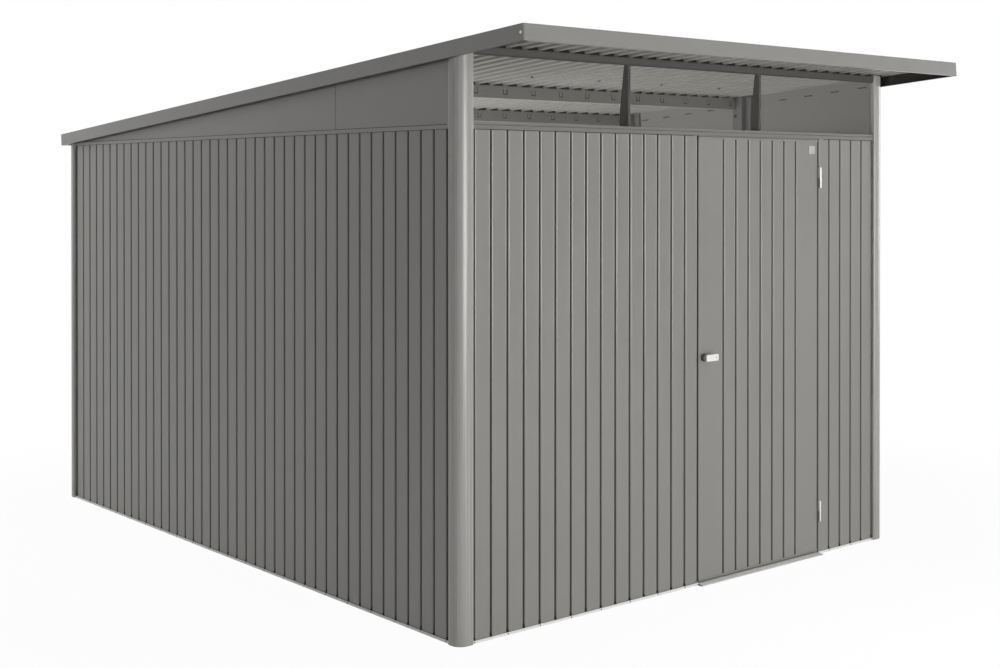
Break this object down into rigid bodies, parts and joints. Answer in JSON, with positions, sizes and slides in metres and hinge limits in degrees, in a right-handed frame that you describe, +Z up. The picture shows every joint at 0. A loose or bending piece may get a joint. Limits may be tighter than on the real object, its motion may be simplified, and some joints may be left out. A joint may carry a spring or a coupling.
{
  "type": "metal storage shed",
  "caption": "Grey metal storage shed with grooved sheet walls, rounded corner posts, a clear window strip over a hinged front door, and a ribbed lean-to roof that falls to the back.",
  "frame": {"origin": "centre of the footprint of the roof, on the ground", "axes": "+Z up, front with the door faces -Y, +X to the right of someone who faces the front from outside"},
  "size_m": [2.6, 3.7954, 2.2224],
  "materials": {
    "grey_paint": "satin metallic grey coating",
    "dark_paint": "satin dark grey coating",
    "bare_aluminium": "plain mill finish",
    "stainless": "brushed",
    "clear_sheet": "clear plastic glazing",
    "black_plastic": "matt"
  },
  "bodies": {
    "shed": {"base_rail_front": "bare_aluminium", "base_rail_back": "bare_aluminium", "base_rail_left": "bare_aluminium", "base_rail_right": "bare_aluminium", "door_threshold": "bare_aluminium", "post_front_left": "grey_paint", "post_front_right": "grey_paint", "post_back_left": "grey_paint", "post_back_right": "grey_paint", "wall_front_left": "grey_paint", "wall_front_right": "grey_paint", "wall_left": "grey_paint", "wall_right": "grey_paint", "wall_back": "grey_paint", "rail_front": "grey_paint", "rail_left": "grey_paint", "rail_right": "grey_paint", "rail_back": "grey_paint", "eaves_panel_back": "grey_paint", "gable_left": "grey_paint", "gable_right": "grey_paint", "window_sill": "grey_paint", "window_glass": "clear_sheet", "window_brackets": "dark_paint", "window_header": "grey_paint", "purlin_front": "grey_paint", "purlin_middle": "grey_paint", "purlin_rear": "grey_paint", "purlin_posts": "grey_paint", "roof_sheet_left": "grey_paint", "roof_sheet_middle": "grey_paint", "roof_sheet_right": "grey_paint", "fascia_front": "grey_paint", "fascia_left": "grey_paint", "fascia_right": "grey_paint", "gutter_rear": "grey_paint", "door_jamb_left": "grey_paint", "door_jamb_right": "grey_paint", "door_head": "grey_paint", "hinge_pins": "stainless"},
    "door": {"door_leaf": "grey_paint", "door_rails": "grey_paint", "door_hinges": "stainless", "handle_rosette": "black_plastic"},
    "handle": {"door_handle": "stainless"}
  },
  "joints": [
    {"name": "door_swing", "type": "hinge", "parent": "shed", "child": "door", "pos_m": [0.81, -1.51079, 0.947], "axis": [0, 0, 1], "range_deg": [0, 110]},
    {"name": "handle_turn", "type": "hinge", "parent": "door", "child": "handle", "pos_m": [0.036, -1.52529, 0.947], "axis": [0, 1, 0], "range_deg": [0, 90]}
  ]
}
